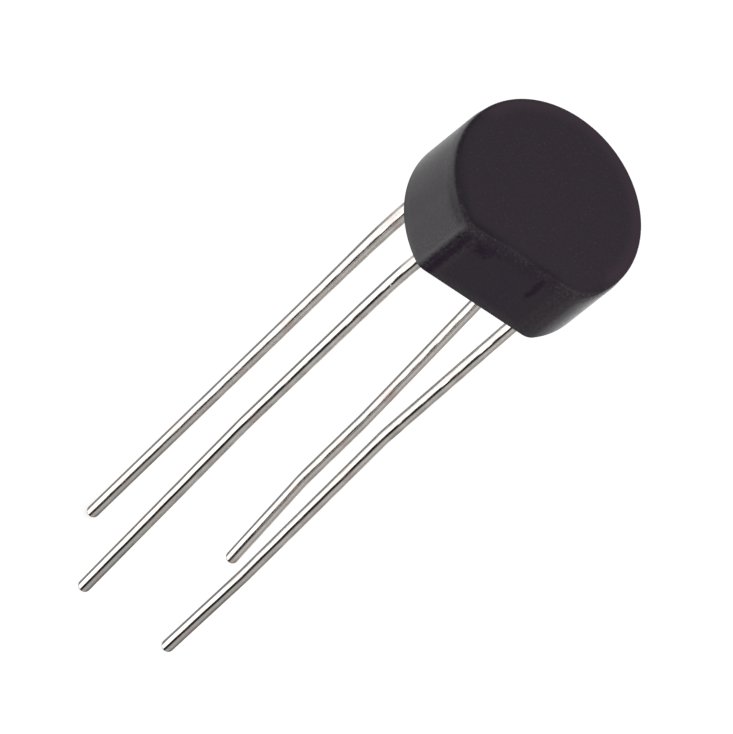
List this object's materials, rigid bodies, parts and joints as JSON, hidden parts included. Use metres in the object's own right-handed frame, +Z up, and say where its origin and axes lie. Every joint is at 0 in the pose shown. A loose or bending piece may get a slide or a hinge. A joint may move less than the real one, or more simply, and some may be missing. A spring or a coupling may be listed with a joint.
{
  "type": "bridge rectifier",
  "caption": "Round moulded bridge rectifier with a polarity flat and wire leads in a square pattern, around a soldered stack of silicon dice and copper plates.",
  "frame": {"origin": "centre of the body's seating face, where its axis crosses the plane that sits on the circuit board", "axes": "+Z up the body's axis towards its plain top face, leads run down -Z, -Y out of the polarity flat, +X to the right when the flat is in front"},
  "size_m": [0.0097, 0.0082, 0.0398],
  "materials": {
    "epoxy": "moulded black epoxy, satin walls and a fine matte top",
    "tinned_wire": "bright drawn wire, tin plated",
    "copper_plate": "stamped copper, tin flashed",
    "silicon": "polished and metallised silicon",
    "solder": "frosty solder"
  },
  "bodies": {
    "root": {"body": "epoxy", "lead_positive": "tinned_wire", "lead_negative": "tinned_wire", "lead_ac_front": "tinned_wire", "lead_ac_rear": "tinned_wire", "plate_positive": "copper_plate", "plate_negative": "copper_plate", "plate_ac_front": "copper_plate", "plate_ac_rear": "copper_plate", "die_left": "silicon", "die_rear": "silicon", "die_right": "silicon", "die_front": "silicon", "die_solder_left": "solder", "die_solder_rear": "solder", "die_solder_right": "solder", "die_solder_front": "solder", "top_solder_left": "solder", "top_solder_rear": "solder", "top_solder_right": "solder", "top_solder_front": "solder", "head_solder_positive": "solder", "head_solder_negative": "solder", "head_solder_ac_front": "solder", "head_solder_ac_rear": "solder"}
  },
  "joints": []
}
